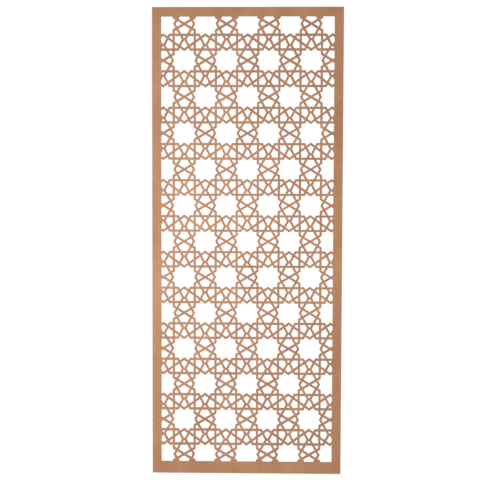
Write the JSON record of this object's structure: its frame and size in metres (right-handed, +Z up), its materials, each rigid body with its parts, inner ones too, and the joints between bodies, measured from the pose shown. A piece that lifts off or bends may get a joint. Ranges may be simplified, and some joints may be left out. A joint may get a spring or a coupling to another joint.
{
  "type": "mashrabiya screen",
  "caption": "Flat pierced screen panel: a lattice of many-pointed stars cut through one thin wood fibre sheet, inside a plain border.",
  "frame": {"origin": "on the back face, at the middle of the top rail, where the panel is fixed", "axes": "+X across the panel, to the right as seen from the front; +Z up the panel; +Y out of the back, so the front faces -Y"},
  "size_m": [0.8, 0.006, 1.967],
  "materials": {
    "fibre_board": "raw medium-density fibre board, smooth matt faces, toasted cut edges"
  },
  "bodies": {
    "root": {"mashrabiya_panel": "fibre_board"}
  },
  "joints": []
}
